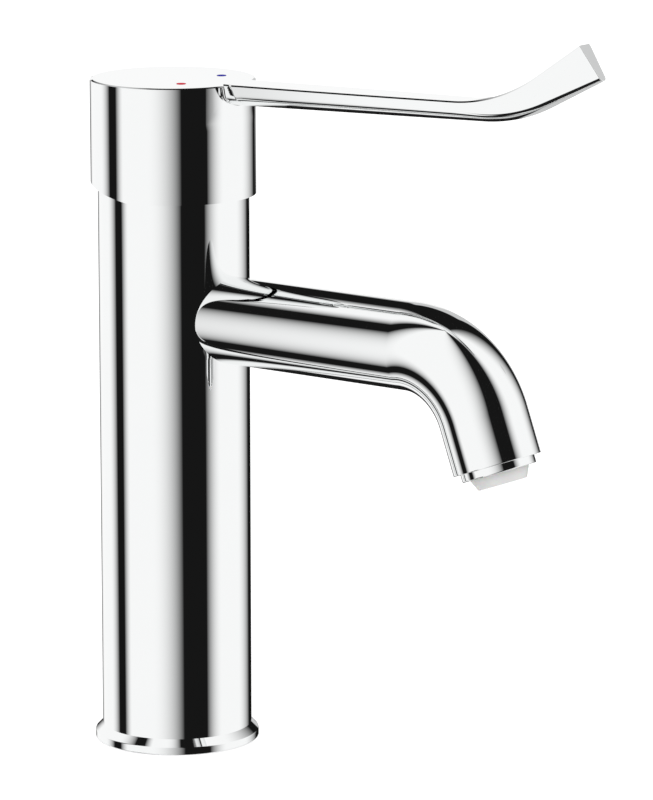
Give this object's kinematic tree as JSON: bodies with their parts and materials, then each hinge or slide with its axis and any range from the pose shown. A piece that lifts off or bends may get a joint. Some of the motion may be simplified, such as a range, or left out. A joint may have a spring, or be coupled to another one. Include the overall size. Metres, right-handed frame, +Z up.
{
  "type": "basin mixer tap",
  "caption": "Tall single-lever basin mixer tap: a straight round column on a slim base ring, a spout bent down at its end, and a flat round cap with a long lever that turns up at its tip.",
  "frame": {"origin": "centre of the base's underside, where the tap stands on the deck", "axes": "+Z up along the column, -Y towards the spout's outlet and the lever's tip, where the user stands; -X is the user's left, the hot side"},
  "size_m": [0.0548, 0.1985, 0.2469],
  "materials": {
    "polished_chrome": "mirror-polished chrome plate on brass",
    "machined_brass": "turned brass, as machined",
    "copper_pipe": "drawn copper tube, dull",
    "stainless_steel": "turned stainless steel",
    "black_rubber": "moulded rubber",
    "white_ceramic": "lapped alumina ceramic",
    "grey_cartridge": "moulded cartridge plastic",
    "white_insert": "moulded white plastic, satin",
    "limiter_orange": "moulded plastic",
    "cover_grey": "moulded grey plastic, glossy",
    "hot_red": "moulded red plastic, glossy",
    "cold_blue": "moulded blue plastic, glossy"
  },
  "bodies": {
    "tap_body": {"base_ring": "polished_chrome", "base_seal": "black_rubber", "foot_plug": "machined_brass", "inlet_strainers": "stainless_steel", "hot_supply_pipe": "copper_pipe", "cold_supply_pipe": "copper_pipe", "pipe_seals": "black_rubber", "column_body": "polished_chrome", "valve_core": "machined_brass", "spout_tube": "polished_chrome", "spout_spigot": "machined_brass", "spout_seals": "black_rubber", "aerator_ring": "polished_chrome", "flow_straightener": "white_insert", "aerator_gasket": "black_rubber", "cartridge_base": "grey_cartridge", "port_seals": "black_rubber", "fixed_disc": "white_ceramic", "cartridge_housing": "grey_cartridge", "retaining_nut": "machined_brass"},
    "cartridge_rotor": {"rotor": "white_insert", "neck_seal": "black_rubber", "pivot_pin": "stainless_steel", "temperature_limiter": "limiter_orange"},
    "lever": {"spindle": "machined_brass", "spindle_sleeve": "grey_cartridge", "control_lever": "polished_chrome", "set_screw": "stainless_steel", "screw_cover": "cover_grey", "hot_mark": "hot_red", "cold_mark": "cold_blue"},
    "ceramic_slide": {"moving_disc": "white_ceramic", "disc_carrier": "white_insert"}
  },
  "joints": [
    {"name": "temperature_turn", "type": "hinge", "parent": "tap_body", "child": "cartridge_rotor", "pos_m": [0, 0, 0.1857], "axis": [0, 0, 1], "range_deg": [-45, 45]},
    {"name": "flow_lift", "type": "hinge", "parent": "cartridge_rotor", "child": "lever", "pos_m": [0, 0, 0.1857], "axis": [-1, 0, 0], "range_deg": [0, 20]},
    {"name": "disc_slide", "type": "slide", "parent": "cartridge_rotor", "child": "ceramic_slide", "axis": [0, -1, 0], "range_m": [0, 0.00504]}
  ],
  "couplings": [
    {"joint": "disc_slide", "follows": "flow_lift", "m_per_rad": 0.014403}
  ]
}
